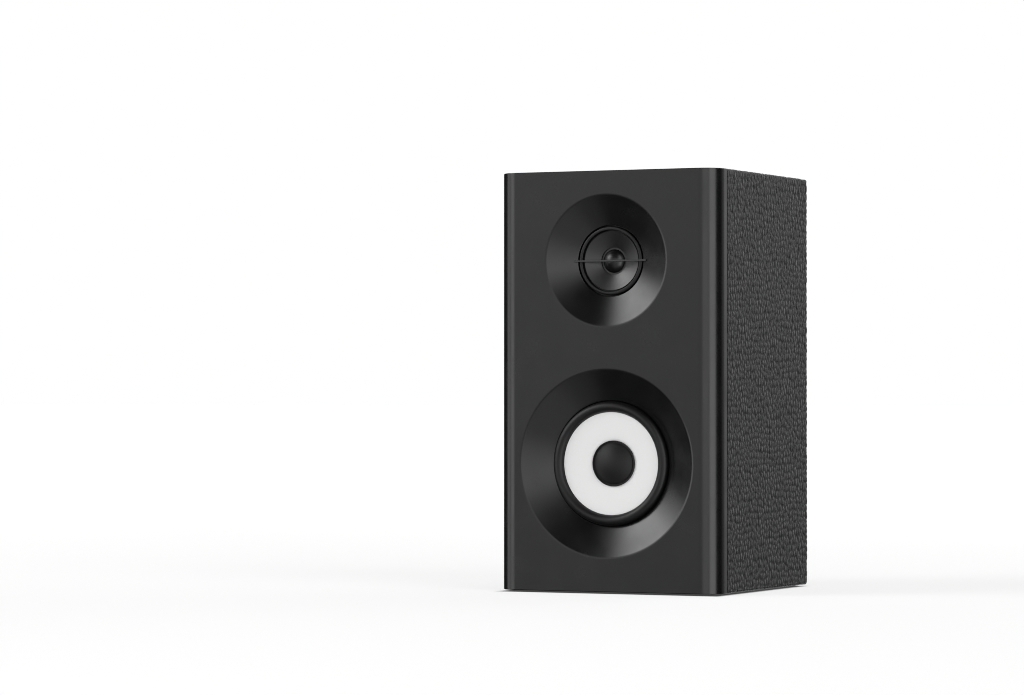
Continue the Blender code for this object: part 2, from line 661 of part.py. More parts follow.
def make_terminal_cup(mat, parent):
    lip = BACK_Y + REAR_FLANGE
    flange = rectangle(*CUP_FLANGE, 8 * mm, 4, (0.0, CUP_Z))
    cup = prism("terminal_cup", flange, BACK_Y + GAP, lip, "Y", mat["black_plastic"], parent)
    outer = rectangle(CUP_MOUTH[0] + CUP_WALL, CUP_MOUTH[1] + CUP_WALL, centre=(0.0, CUP_Z))
    body = prism("cup_body", outer, CUP_FLOOR_Y - CUP_FLOOR, BACK_Y + 1.5 * mm, "Y", None, helper=True)
    boolean(cup, body, "UNION")
    mouth = rectangle(*CUP_MOUTH, 4 * mm, 3, (0.0, CUP_Z))
    boolean(cup, prism("cup_mouth", mouth, CUP_FLOOR_Y, lip + 5 * mm, "Y", None, helper=True), "DIFFERENCE")
    for index, (x, z) in enumerate(cup_screw_places()):
        hole = round_cutter(f"cup_screw_hole_{index}", SCREW_HOLE, BACK_Y - 2 * mm, lip + 2 * mm, x, z)
        sink = round_cutter(f"cup_screw_sink_{index}", 3.3 * mm, lip - 1.8 * mm, lip + 2 * mm, x, z)
        boolean(cup, hole, "DIFFERENCE")
        boolean(cup, sink, "DIFFERENCE")
        place = (x, lip - 1.5 * mm, z)
        screw(f"cup_screw_{index + 1}", 2.9 * mm, 1.4 * mm, 7.0 * mm, mat["screw"], parent, place)
    for side in (-1, 1):
        x = side * POST_SPACING / 2
        low_y, high_y = CUP_FLOOR_Y - CUP_FLOOR - 2 * mm, CUP_FLOOR_Y + 2 * mm
        hole = round_cutter(f"post_hole_{side}", POST_STUD + GAP, low_y, high_y, x, CUP_Z)
        boolean(cup, hole, "DIFFERENCE")
    settle(cup)


def hexagon(across_flats):
    radius = across_flats / 2 / math.cos(math.pi / 6)
    return arc((0.0, 0.0), radius, 0, 300, 5)


def make_post(colour, side, mat):
    """Binding post. Local origin: on its axis, at the terminal cup's floor."""
    at = empty(f"post_{colour}", (side * POST_SPACING / 2, CUP_FLOOR_Y, CUP_Z))
    plastic = mat["red_plastic" if colour == "red" else "black_plastic"]
    clear = POST_STUD + 0.35 * mm
    collar = ring_profile(clear, 7.2 * mm, GAP, 2.6 * mm)
    turned(f"post_{colour}_collar", collar, MEDIUM, plastic, at)
    socket = 2.05 * mm
    stud = [
        (0.0, -9.0 * mm), (POST_STUD, -9.0 * mm), (POST_STUD, 13.2 * mm), (socket + 0.4 * mm, 13.8 * mm),
        (socket, 13.8 * mm), (socket, 2.0 * mm), (0.0, 1.4 * mm),
    ]
    turned(f"post_{colour}_stud", stud, SMALL, mat["gilt"], at)
    washer = ring_profile(clear, 6.0 * mm, 2.9 * mm, 3.7 * mm)
    turned(f"post_{colour}_washer", washer, SMALL, mat["gilt"], at)
    knob = [
        (clear, 4.0 * mm), (6.2 * mm, 4.0 * mm), (7.0 * mm, 5.0 * mm), (7.0 * mm, 13.4 * mm),
        (6.0 * mm, 14.8 * mm), (4.2 * mm, 14.8 * mm), (clear, 14.0 * mm),
    ]
    turned(f"post_{colour}_knob", knob, MEDIUM, plastic, at)
    nut_front = CIRCUIT_BACK - GAP - CUP_FLOOR_Y
    nut_back = nut_front - 3 * mm
    nut = prism(f"post_{colour}_nut", hexagon(9.0 * mm), nut_back, nut_front, "Y", mat["zinc"], at)
    profile = [(0.0, -10 * mm), (clear, -10 * mm), (clear, 0.0), (0.0, 0.0)]
    bore = turned(f"nut_bore_{colour}", profile, SMALL, None, at, helper=True)
    boolean(nut, bore, "DIFFERENCE")
    settle(nut)


def make_crossover(mat, parent):
    """Filter board held on the back of the terminal cup by the posts' nuts."""
    outline = rectangle(32 * mm, 29 * mm, centre=(0.0, CUP_Z))
    sheet = (CIRCUIT_BACK, CIRCUIT_FRONT)
    board = prism("crossover_board", outline, *sheet, "Y", mat["circuit_board"], parent)
    for side in (-1, 1):
        x = side * POST_SPACING / 2
        hole = round_cutter(
            f"board_hole_{side}", POST_STUD + GAP, CIRCUIT_BACK - mm, CIRCUIT_FRONT + mm, x, CUP_Z
        )
        boolean(board, hole, "DIFFERENCE")
    settle(board)

    top = CIRCUIT_BACK - GAP
    can, half = 6.5 * mm, 12 * mm
    place = (0.0, top - can, CUP_Z + 18 * mm)
    outline = circle((0.0, 0.0), can, 20)
    capacitor = prism("crossover_capacitor", outline, -half, half, "Z", mat["capacitor"], parent, place)
    capacitor.rotation_euler = (0, math.pi / 2, 0)

    core, rim, tall, cheek = 9.0 * mm, 10.0 * mm, 13.0 * mm, 1.5 * mm
    bobbin = [
        (0.0, top), (rim, top), (rim, top - cheek), (core, top - cheek),
        (core, top - tall + cheek), (rim, top - tall + cheek), (rim, top - tall), (0.0, top - tall),
    ]
    place = (18 * mm, 0, CUP_Z - 16 * mm)
    turned("crossover_inductor", bobbin, MEDIUM, mat["coil"], parent, place)
    low = (-28 * mm, top - 9 * mm, CUP_Z - 21 * mm)
    high = (-4 * mm, top, CUP_Z - 12 * mm)
    box("crossover_resistor", low, high, mat["ceramic"], parent)


def smooth_route(points, spacing):
    """Catmull-Rom curve through the points, read off at an even spacing."""
    ends = [points[0] * 2 - points[1]] + points + [points[-1] * 2 - points[-2]]
    fine = []
    for p0, p1, p2, p3 in zip(ends, ends[1:], ends[2:], ends[3:]):
        for i in range(20):
            t = i / 20
            fine.append(
                0.5 * (2 * p1 + (p2 - p0) * t + (2 * p0 - 5 * p1 + 4 * p2 - p3) * t * t
                       + (3 * p1 - p0 - 3 * p2 + p3) * t ** 3)
            )
    fine.append(points[-1])
    kept, run = [fine[0]], 0.0
    for before, after in zip(fine, fine[1:]):
        run += (after - before).length
        if run >= spacing:
            kept.append(after)
            run = 0.0
    kept[-1] = fine[-1]
    return kept


def make_lead(name, points, material, parent):
    curve = bpy.data.curves.new(name, "CURVE")
    curve.dimensions = "3D"
    route = smooth_route([Vector(point) for point in points], LEAD_SPACING)
    spline = curve.splines.new("POLY")
    spline.points.add(len(route) - 1)
    for target, point in zip(spline.points, route):
        target.co = (*point, 1.0)
    curve.bevel_depth = LEAD_RADIUS
    curve.bevel_resolution = 2
    curve.use_fill_caps = True
    curve.materials.append(material)
    obj = bpy.data.objects.new(name, curve)
    obj.parent = parent
    bpy.context.scene.collection.objects.link(obj)


def make_leads(mat, parent):
    """A lead from the filter board to each driver. Each starts and ends just clear of its terminal."""
    board_y = CIRCUIT_BACK - GAP
    tag_top = WOOFER_Z + 41.2 * mm + LEAD_RADIUS + GAP
    block_end = TWEETER_Z - TWEETER_BLOCK_END - LEAD_RADIUS - GAP
    woofer = [
        (24 * mm, board_y, CUP_Z + 22 * mm),
        (24 * mm, board_y - 12 * mm, CUP_Z + 25 * mm),
        (25 * mm, board_y - 32 * mm, CUP_Z + 36 * mm),
        (22 * mm, board_y - 56 * mm, CUP_Z + 50 * mm),
        (12 * mm, FRONT_Y + 36 * mm, tag_top + 5 * mm),
        (5 * mm, FRONT_Y + 25 * mm, tag_top + 1.5 * mm),
        (3 * mm, FRONT_Y + 16 * mm, tag_top),
    ]
    tweeter = [
        (-24 * mm, board_y, CUP_Z + 22 * mm),
        (-25 * mm, board_y - 12 * mm, CUP_Z + 26 * mm),
        (-28 * mm, board_y - 34 * mm, CUP_Z + 48 * mm),
        (-26 * mm, board_y - 62 * mm, CUP_Z + 78 * mm),
        (-14 * mm, FRONT_Y + 30 * mm, block_end - 10 * mm),
        (-4 * mm, FRONT_Y + 20 * mm, block_end - 1 * mm),
        (0.0, FRONT_Y + 14 * mm, block_end),
    ]
    make_lead("woofer_lead", woofer, mat["lead"], parent)
    make_lead("tweeter_lead", tweeter, mat["lead"], parent)


def make_wadding(mat, parent):
    wall = WIDTH / 2 - FILM - GAP - BOARD
    low = (-wall + 0.5 * mm, FRONT_Y + 50 * mm, BOTTOM_Z + 28 * mm)
    high = (-wall + 11.0 * mm, BACK_Y - BOARD - 8 * mm, TOP_Z - 28 * mm)
    box("wadding_pad", low, high, mat["wadding"], parent)


def main():
    clear_scene()
    mat = make_materials()
    cabinet = empty("cabinet", (0, 0, 0))
    make_baffle(mat, cabinet)
    make_walls(mat, cabinet)
    make_back_panel(mat, cabinet)
    make_film(mat, cabinet)
    make_feet(mat, cabinet)
    make_port(mat, cabinet)
    make_terminal_cup(mat, cabinet)
    make_crossover(mat, cabinet)
    make_leads(mat, cabinet)
    make_wadding(mat, cabinet)
    for name, height, make in (("woofer", WOOFER_Z, make_woofer), ("tweeter", TWEETER_Z, make_tweeter)):
        axis = (0, FRONT_Y, height)
        make(mat, empty(name, axis), empty(f"{name}_travel", axis))
    make_post("red", 1, mat)
    make_post("black", -1, mat)


main()
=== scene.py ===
"""Looks of the bookshelf speaker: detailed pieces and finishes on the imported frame.

Metres, in the frame of the CAD model. Profiles and outlines are in millimetres, and "depth" is
the distance behind the baffle's front face.
"""

import json
import math

import bmesh
import bpy
import numpy as np
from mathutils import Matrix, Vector


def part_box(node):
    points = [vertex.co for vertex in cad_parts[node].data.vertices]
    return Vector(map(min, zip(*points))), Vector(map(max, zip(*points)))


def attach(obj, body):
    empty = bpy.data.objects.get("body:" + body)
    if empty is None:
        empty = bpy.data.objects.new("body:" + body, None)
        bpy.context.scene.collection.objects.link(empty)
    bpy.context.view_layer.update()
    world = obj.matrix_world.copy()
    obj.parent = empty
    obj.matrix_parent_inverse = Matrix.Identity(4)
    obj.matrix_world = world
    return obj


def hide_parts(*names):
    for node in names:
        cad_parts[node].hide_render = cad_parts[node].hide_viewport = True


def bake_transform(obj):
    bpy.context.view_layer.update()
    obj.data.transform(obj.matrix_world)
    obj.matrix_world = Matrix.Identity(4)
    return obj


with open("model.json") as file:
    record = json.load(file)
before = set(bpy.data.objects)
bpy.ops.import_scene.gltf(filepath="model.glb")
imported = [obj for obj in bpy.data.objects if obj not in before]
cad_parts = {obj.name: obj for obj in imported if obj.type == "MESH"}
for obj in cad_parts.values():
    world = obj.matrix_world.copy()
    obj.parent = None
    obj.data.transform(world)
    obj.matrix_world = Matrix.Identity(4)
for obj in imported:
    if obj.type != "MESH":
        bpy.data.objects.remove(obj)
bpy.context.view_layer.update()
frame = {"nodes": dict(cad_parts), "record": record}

MM = 0.001
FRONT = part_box("front_baffle")[0].y
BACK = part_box("back_panel")[1].y
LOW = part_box("front_baffle")[0].z
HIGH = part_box("front_baffle")[1].z
HALF_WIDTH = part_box("front_baffle")[1].x
MIDDLE_Z = (LOW + HIGH) / 2
FILM_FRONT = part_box("vinyl_wrap")[0].y
FORWARD, UP = Vector((0, 1, 0)), Vector((0, 0, 1))
ROUND, FINE = 128, 192  # facets round a turned piece


def centre(node):
    low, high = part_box(node)
    return (low + high) / 2


def axis_of(node):
    """The point where a driver's axis meets the plane of the front face."""
    middle = centre(node)
    return Vector((middle.x, FRONT, middle.z))


WOOFER, TWEETER = axis_of("woofer_cone"), axis_of("tweeter_cone")
PORT = centre("port_tube")
CUP = centre("terminal_cup")
CUP_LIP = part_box("terminal_cup")[1].y

slot_of = {part["node"]: part["material_slot"] for part in frame["record"]["subparts"]}
body_of = {
    node: body for body, nodes in frame["record"]["behaviour"]["bodies"].items() for node in nodes}


# ---------------------------------------------------------------- finishes

class Finish:
    """A Principled material, with textures in object space on its sockets."""

    def __init__(self, colour, roughness, **sockets):
        self.material = bpy.data.materials.new("finish")
        self.material.use_nodes = True
        self.tree = self.material.node_tree
        self.shader = self.tree.nodes["Principled BSDF"]
        self.shader.inputs["Base Color"].default_value = (*colour, 1)
        self.shader.inputs["Roughness"].default_value = roughness
        for name, value in sockets.items():
            self.shader.inputs[name.replace("_", " ")].default_value = value
        self.place = self.tree.nodes.new("ShaderNodeTexCoord").outputs["Object"]

    def texture(self, kind, scale, stretch=(1, 1, 1), output=0, **inputs):
        """A texture's output. Scale is in features per metre, and stretch divides it along an axis.
        inputs are the node's sockets, or else its settings."""
        mapping = self.tree.nodes.new("ShaderNodeMapping")
        mapping.inputs["Scale"].default_value = [1 / value for value in stretch]
        self.tree.links.new(self.place, mapping.inputs["Vector"])
        node = self.tree.nodes.new("ShaderNodeTex" + kind)
        node.inputs["Scale"].default_value = scale
        for name, value in inputs.items():
            if name in node.inputs:
                node.inputs[name].default_value = value
            else:
                setattr(node, name, value)
        self.tree.links.new(mapping.outputs["Vector"], node.inputs["Vector"])
        return node.outputs[output]

    def attribute(self, name):
        node = self.tree.nodes.new("ShaderNodeAttribute")
        node.attribute_name = name
        return node.outputs["Fac"]

    def between(self, value, low, high, start=0.0, end=1.0):
        node = self.tree.nodes.new("ShaderNodeMapRange")
        ends = ("From Min", start), ("From Max", end), ("To Min", low), ("To Max", high)
        for name, number in ends:
            node.inputs[name].default_value = number
        self.tree.links.new(value, node.inputs["Value"])
        return node.outputs["Result"]

    def rough(self, value, low, high, start=0.3, end=0.7):
        spread = self.between(value, low, high, start, end)
        self.tree.links.new(spread, self.shader.inputs["Roughness"])
        return self

    def tint(self, value, dark, light, start=0.3, end=0.7):
        mix = self.tree.nodes.new("ShaderNodeMix")
        mix.data_type = "RGBA"
        colours = [socket for socket in mix.inputs if socket.type == "RGBA"]
        for socket, colour in zip(colours, (dark, light)):
            socket.default_value = (*colour, 1)
        self.tree.links.new(self.between(value, 0, 1, start, end), mix.inputs["Factor"])
        result = next(socket for socket in mix.outputs if socket.type == "RGBA")
        self.tree.links.new(result, self.shader.inputs["Base Color"])
        return self

    def bump(self, value, height_mm):
        node = self.tree.nodes.new("ShaderNodeBump")
        node.inputs["Distance"].default_value = height_mm * MM
        normal = self.shader.inputs["Normal"]
        if normal.links:
            self.tree.links.new(normal.links[0].from_socket, node.inputs["Normal"])
        self.tree.links.new(value, node.inputs["Height"])
        self.tree.links.new(node.outputs["Normal"], normal)
        return self


def grey(value):
    return (value, value, value * 1.02)


def moulded(colour, roughness, texture_mm=0.5):
    """Injection-moulded plastic with a fine eroded texture."""
    finish = Finish(colour, roughness)
    cloud = finish.texture("Noise", 60, Detail=3)
    finish.rough(cloud, roughness - 0.04, roughness + 0.05)
    return finish.bump(finish.texture("Noise", 1 / (texture_mm * MM), Detail=4), 0.012)


def plated(colour, roughness):
    finish = Finish(colour, roughness, Metallic=1.0)
    finish.rough(finish.texture("Noise", 300, Detail=5), roughness - 0.06, roughness + 0.12)
    return finish.bump(finish.texture("Noise", 4000, Detail=2), 0.004)


def make_finishes():
    made = {}
    made["baffle"] = moulded(grey(0.0035), 0.235)
    made["guard_bar"] = moulded(grey(0.020), 0.40)
    made["black_plastic"] = moulded(grey(0.008), 0.42)
    made["red_plastic"] = moulded((0.33, 0.008, 0.008), 0.32)
    made["capacitor"] = moulded((0.02, 0.03, 0.10), 0.30)

    vinyl = Finish(grey(0.016), 0.5)
    # Painted shade: the creases of the grain are painted darker than the pebbles, which are also
    # glossier.
    crease = vinyl.attribute("grain")
    vinyl.tint(crease, grey(0.002), grey(0.036), 0.2, 0.7).rough(crease, 0.50, 0.18, 0.0, 0.8)
    vinyl.bump(vinyl.texture("Noise", 1400, Detail=5, Roughness=0.6), 0.035)
    vinyl.bump(vinyl.texture("Voronoi", 2600, feature="F1"), 0.012)
    made["vinyl"] = vinyl

    board = Finish((0.42, 0.30, 0.19), 0.85)
    fibre = board.texture("Noise", 500, (1, 1, 3), Detail=8, Roughness=0.7)
    board.tint(fibre, (0.30, 0.20, 0.11), (0.50, 0.37, 0.24)).bump(fibre, 0.08)
    made["board"] = board
    black = Finish(grey(0.016), 0.62)
    fibre = black.texture("Noise", 700, Detail=8, Roughness=0.75)
    black.tint(fibre, grey(0.010), grey(0.022)).rough(fibre, 0.52, 0.72).bump(fibre, 0.05)
    black.bump(black.texture("Noise", 90, (1, 1, 6), Detail=3), 0.03)
    made["black_board"] = black

    paper = Finish((0.76, 0.76, 0.755), 0.7)
    pulp = paper.texture("Noise", 900, Detail=7, Roughness=0.7)
    paper.tint(pulp, (0.712, 0.712, 0.709), (0.728, 0.728, 0.725)).bump(pulp, 0.015)
    made["white_cone"] = paper
    black_paper = Finish(grey(0.005), 0.34, Specular_IOR_Level=0.69)
    pulp = black_paper.texture("Noise", 1600, Detail=6, Roughness=0.65)
    made["black_paper"] = black_paper.rough(pulp, 0.29, 0.37).bump(pulp, 0.010)
    cap = Finish(grey(0.0015), 0.55, Specular_IOR_Level=0.37)
    made["dust_cap"] = cap.rough(cap.texture("Noise", 1600, Detail=6), 0.51, 0.59).bump(
        cap.texture("Noise", 2400, Detail=4), 0.012)
    gloss = Finish(grey(0.003), 0.32)
    made["gloss_black"] = gloss.rough(gloss.texture("Noise", 500, Detail=3), 0.29, 0.35)

    rubber = Finish(grey(0.0025), 0.44, Specular_IOR_Level=0.34)
    bloom = rubber.texture("Noise", 220, Detail=6)
    rubber.rough(bloom, 0.40, 0.48).bump(rubber.texture("Noise", 3000, Detail=3), 0.01)
    made["rubber"] = rubber
    foam = Finish(grey(0.022), 0.95)
    cells = foam.texture("Voronoi", 2600)
    made["foam"] = foam.tint(cells, grey(0.010), grey(0.034), 0.1, 0.6).bump(cells, 0.12)

    enamel = Finish(grey(0.020), 0.40)
    peel = enamel.texture("Noise", 900, Detail=2)
    made["steel_frame"] = enamel.rough(peel, 0.34, 0.48).bump(peel, 0.02)
    made["zinc"] = plated((0.56, 0.57, 0.58), 0.34)
    made["gilt"] = plated((0.83, 0.60, 0.27), 0.24)
    made["screw"] = plated((0.06, 0.06, 0.062), 0.38)
    ferrite = Finish((0.050, 0.047, 0.045), 0.62)
    grit = ferrite.texture("Noise", 1500, Detail=6)
    ferrite.tint(grit, (0.035, 0.033, 0.031), (0.075, 0.070, 0.066))
    made["ferrite"] = ferrite.rough(grit, 0.5, 0.75).bump(grit, 0.03)
    coil = Finish((0.45, 0.17, 0.06), 0.30, Metallic=0.8)
    turns = coil.texture("Wave", 1600, bands_direction="Y", output=1)
    coil.tint(turns, (0.20, 0.06, 0.02), (0.55, 0.22, 0.08), 0.1, 0.7).bump(turns, 0.06)
    made["coil"] = coil

    spider = Finish((0.52, 0.31, 0.10), 0.8)
    weave = spider.texture("Brick", 1300, output=1)
    spider.tint(weave, (0.58, 0.36, 0.13), (0.40, 0.22, 0.06), 0, 1).bump(weave, -0.06)
    made["spider_cloth"] = spider
    circuit = Finish((0.33, 0.20, 0.07), 0.45)
    layer = circuit.texture("Noise", 400, (1, 1, 4), Detail=5)
    circuit.tint(layer, (0.26, 0.15, 0.05), (0.38, 0.24, 0.09)).bump(layer, 0.02)
    made["circuit_board"] = circuit
    ceramic = Finish((0.70, 0.68, 0.62), 0.8)
    grain = ceramic.texture("Noise", 1800, Detail=6)
    made["ceramic"] = ceramic.tint(grain, (0.60, 0.58, 0.52), (0.76, 0.74, 0.69)).bump(grain, 0.05)
    wadding = Finish((0.75, 0.75, 0.73), 0.95)
    fluff = wadding.texture("Noise", 260, Detail=10, Roughness=0.75, Distortion=1.5)
    made["wadding"] = wadding.tint(fluff, (0.55, 0.55, 0.53), (0.82, 0.82, 0.80)).bump(fluff, 1.2)
    lead = Finish((0.28, 0.015, 0.015), 0.42)
    made["lead"] = lead.bump(lead.texture("Noise", 1200, Detail=3), 0.02)

    for name, finish in made.items():
        finish.material.name = name
    return {name: finish.material for name, finish in made.items()}


finishes = make_finishes()


def dress(obj, *nodes, finish=None):
    """Gives a piece the finish and the body of the CAD nodes that it stands for."""
    obj.data.materials.append(finishes[finish or slot_of[nodes[0]]])
    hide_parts(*nodes)
    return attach(obj, body_of[nodes[0]])


# ---------------------------------------------------------------- mesh building

def new_piece(name, verts, faces, sharp=32):
    """An object from points in metres, with its normals outwards and its round faces smooth."""
    mesh = bpy.data.meshes.new(name)
    mesh.from_pydata([tuple(v) for v in verts], [], faces)
    bm = bmesh.new()
    bm.from_mesh(mesh)
    bmesh.ops.recalc_face_normals(bm, faces=bm.faces)
    bm.to_mesh(mesh)
    bm.free()
    obj = bpy.data.objects.new(name, mesh)
    bpy.context.scene.collection.objects.link(obj)
    smooth(obj, sharp)
    return obj


def fillet(points, closed=True, steps=5):
    """Rounds each corner that has a third number, its reach along both edges."""
    made = []
    for i, (x, y, *reach) in enumerate(points):
        if not reach or (not closed and i in (0, len(points) - 1)):
            made.append((x, y))
            continue
        corner = Vector((x, y))
        before = Vector(points[i - 1][:2]) - corner
        after = Vector(points[(i + 1) % len(points)][:2]) - corner
        length = min(reach[0], 0.48 * before.length, 0.48 * after.length)
        start, end = corner + before.normalized() * length, corner + after.normalized() * length
        for k in range(steps + 1):
            t = k / steps
            made.append(tuple(start * (1 - t) ** 2 + corner * (2 * t * (1 - t)) + end * t * t))
    return made


def arc(middle, radius, start, end, steps):
    turn = [math.radians(start + (end - start) * i / steps) for i in range(steps + 1)]
    return [(middle[0] + radius * math.cos(a), middle[1] + radius * math.sin(a)) for a in turn]


def turned(name, profile, origin, segments=ROUND, direction=FORWARD, ribs=None):
    """Turns (radius, depth) points, in mm, round the line through origin along direction. A profile
    that starts on the axis is open; any other is a closed ring. ribs is (count, height, low, high):
    grooves along the axis between two depths."""
    side = Vector((1, 0, 0))
    other = direction.cross(side)
    verts, rings = [], []
    for radius, depth in profile:
        foot = origin + direction * (depth * MM)
        if radius < 1e-6:
            rings.append([len(verts)])
            verts.append(foot)
            continue
        rings.append(list(range(len(verts), len(verts) + segments)))
        for i in range(segments):
            angle = 2 * math.pi * i / segments
            cut = 0.0
            if ribs and ribs[2] <= depth <= ribs[3]:
                cut = ribs[1] * (0.5 - 0.5 * math.cos(ribs[0] * angle))
            reach = (radius - cut) * MM
            verts.append(
                foot + side * (reach * math.cos(angle)) + other * (reach * math.sin(angle)))
    pairs = list(zip(rings, rings[1:]))
    if len(rings[0]) > 1:
        pairs.append((rings[-1], rings[0]))
    faces = []
    for a, b in pairs:
        for i in range(segments):
            j = (i + 1) % segments
            quad = [a[i % len(a)], a[j % len(a)], b[j % len(b)], b[i % len(b)]]
            face = list(dict.fromkeys(quad))
            if len(face) > 2:
                faces.append(face)
    return new_piece(name, verts, faces)


def rounded_rectangle(half_x, half_z, radius, steps=6):
    points = []
    for quarter, (sx, sz) in enumerate([(1, 1), (-1, 1), (-1, -1), (1, -1)]):
        corner = (sx * (half_x - radius), sz * (half_z - radius))
        points += arc(corner, radius, 90 * quarter, 90 * quarter + 90, steps)
    return points


def lofted(name, loops, sharp=32):
    """A closed solid through loops of the same number of points. The first and last are capped."""
    count = len(loops[0])
    verts = [point for loop in loops for point in loop]
    faces = [list(range(count)), list(range(len(verts) - count, len(verts)))]
    for level in range(len(loops) - 1):
        base = level * count
        for i in range(count):
            j = (i + 1) % count
            faces.append([base + i, base + j, base + count + j, base + count + i])
    return new_piece(name, verts, faces, sharp)


def level_loop(half_x, half_z, radius, middle, y, steps=6):
    outline = rounded_rectangle(half_x, half_z, radius, steps)
    return [(middle.x + x * MM, y, middle.z + z * MM) for x, z in outline]


def carve(obj, tool, operation="DIFFERENCE"):
    """A Boolean, applied at once. The tool is removed."""
    modifier = obj.modifiers.new("carve", "BOOLEAN")
    modifier.operation, modifier.solver, modifier.object = operation, "EXACT", tool
    graph = bpy.context.evaluated_depsgraph_get()
    mesh = bpy.data.meshes.new_from_object(obj.evaluated_get(graph))
    obj.modifiers.clear()
    obj.data = mesh
    bpy.data.objects.remove(tool)


def smooth(obj, sharp):
    obj.data.shade_smooth()
    obj.data.set_sharp_from_angle(angle=math.radians(sharp))


def smooth_with_flats(obj, sharp):
    """Smooths a carved piece, and keeps its flat faces flat beside their small rounded edges."""
    smooth(obj, sharp)
    modifier = obj.modifiers.new("weighted normals", "WEIGHTED_NORMAL")
    modifier.weight, modifier.keep_sharp = 100, True


# ---------------------------------------------------------------- camera, floor and light

# Fitted to the photograph: metres from the middle of the front's lower edge, and the lens in mm.
CAMERA_OFFSET = Vector((0.91864, -2.02968, 0.11246))
CAMERA_YAW, CAMERA_PITCH = math.radians(25.749), math.radians(0.760)
CAMERA_LENS, CAMERA_SENSOR, CAMERA_CLIP = 134.85, 36.0, (0.05, 200)


def look_along(obj, direction):
    obj.rotation_euler = direction.to_track_quat("-Z", "Y").to_euler()


def make_camera():
    data = bpy.data.cameras.new("camera")
    data.sensor_width, data.lens = CAMERA_SENSOR, CAMERA_LENS
    data.clip_start, data.clip_end = CAMERA_CLIP
    camera = bpy.data.objects.new("camera", data)
    camera.location = Vector((0, FRONT, LOW)) + CAMERA_OFFSET
    flat = math.cos(CAMERA_PITCH)
    look_along(camera, Vector((
        -math.sin(CAMERA_YAW) * flat, math.cos(CAMERA_YAW) * flat, math.sin(CAMERA_PITCH))))
    bpy.context.scene.collection.objects.link(camera)
    bpy.context.scene.camera = camera
    bpy.context.scene.cycles.filter_width = 1.0  # edges as sharp as the photograph's


# Soft boxes round the object, as (azimuth, elevation, brightness, softness of the upper and lower
# edges): azimuth from the front in degrees, positive to the right of the front, and 180 behind.
# BOX_EDGE is the softness of their side edges, and ROOM is the light of the room between them.
BOXES = (
    ((124, 146), (-6, 90), 0.38, 30),
    ((147, 163), (-3, 90), 1.10, 26),
    ((162, 200), (22, 90), 0.85, 10),
    ((-200, -150), (22, 90), 0.85, 10),
    ((162, 200), (-60, -16), 0.65, 10),
    ((-200, -150), (-60, -16), 0.65, 10),
    ((60, 120), (62, 90), 0.8, 10),
    ((-152, -60), (62, 90), 0.8, 10),
    ((45, 80), (-40, 50), 2.60, 10),
    ((-42, 50), (-15, 22), 0.40, 10),
    ((-42, 50), (-1, 24), 0.67, 22),
    ((5, 38), (-14, 14), 0.78, 10),
    ((-2, 50), (-60, -17), 0.35, 10),
    ((-24, 50), (-60, -17), 0.30, 10),
    ((-58, -36), (-8, 10), 2.0, 8),
)
BOX_EDGE, ROOM = 10.0, 0.03
# A strip light: its two edges' azimuths, distance and height in metres, and brightness.
STRIP_FROM, STRIP_TO, STRIP_AWAY, STRIP_HEIGHT, STRIP_LEVEL = -57.0, -82.0, 0.065, 0.40, 1.30
# A round light: its azimuth and elevation, full and zero radius in degrees, and brightness.
KEY_DIRECTION, KEY_INSIDE, KEY_OUTSIDE, KEY_LEVEL = (-54.0, 28.0), 4.0, 25.0, 6.0


def make_world():
    """Studio light: soft boxes in a dark room. The camera sees plain white behind the object."""
    world = bpy.data.worlds.new("studio")
    world.use_nodes = True
    bpy.context.scene.world = world
    tree = world.node_tree

    def math_node(operation, *values):
        node = tree.nodes.new("ShaderNodeMath")
        node.operation = operation
        for socket, value in zip(node.inputs, values):
            if isinstance(value, (int, float)):
                socket.default_value = value
            else:
                tree.links.new(value, socket)
        return node.outputs[0]

    def edge(value, start, end):
        node = tree.nodes.new("ShaderNodeMapRange")
        node.interpolation_type = "SMOOTHSTEP"
        tree.links.new(value, node.inputs["Value"])
        node.inputs["From Min"].default_value, node.inputs["From Max"].default_value = start, end
        return node.outputs["Result"]

    place = tree.nodes.new("ShaderNodeTexCoord")
    split = tree.nodes.new("ShaderNodeSeparateXYZ")
    tree.links.new(place.outputs["Generated"], split.inputs["Vector"])
    x, y, z = split.outputs
    degrees = 180 / math.pi
    around = math_node("ARCTAN2", x, math_node("MULTIPLY", y, -1.0))
    azimuth = math_node("MULTIPLY", around, degrees)
    elevation = math_node("MULTIPLY", math_node("ARCSINE", z), degrees)
    light = ROOM
    for across, up, level, softness in BOXES:
        shape = level
        ends = (azimuth, across, BOX_EDGE / 2), (elevation, up, softness / 2)
        for value, (low, high), soft in ends:
            shape = math_node("MULTIPLY", shape, edge(value, low - soft, low + soft))
            shape = math_node("MULTIPLY", shape, edge(value, high + soft, high - soft))
        light = math_node("ADD", light, shape)
    toward = tree.nodes.new("ShaderNodeVectorMath")
    toward.operation = "DOT_PRODUCT"
    tree.links.new(place.outputs["Generated"], toward.inputs[0])
    turn, above = (math.radians(value) for value in KEY_DIRECTION)
    toward.inputs[1].default_value = (
        math.sin(turn) * math.cos(above), -math.cos(turn) * math.cos(above), math.sin(above))
    away = math_node("MULTIPLY", math_node("ARCCOSINE", toward.outputs["Value"]), degrees)
    key = math_node("MULTIPLY", KEY_LEVEL, edge(away, KEY_OUTSIDE, KEY_INSIDE))
    light = math_node("ADD", light, key)
    path = tree.nodes.new("ShaderNodeLightPath")
    shown = tree.nodes.new("ShaderNodeMix")
    shown.data_type = "FLOAT"
    # Sockets 0, 2 and 3 are the factor, A and B.
    tree.links.new(path.outputs["Is Camera Ray"], shown.inputs[0])
    tree.links.new(light, shown.inputs[2])
    shown.inputs[3].default_value = 1.0
    tree.links.new(shown.outputs[0], tree.nodes["Background"].inputs["Color"])


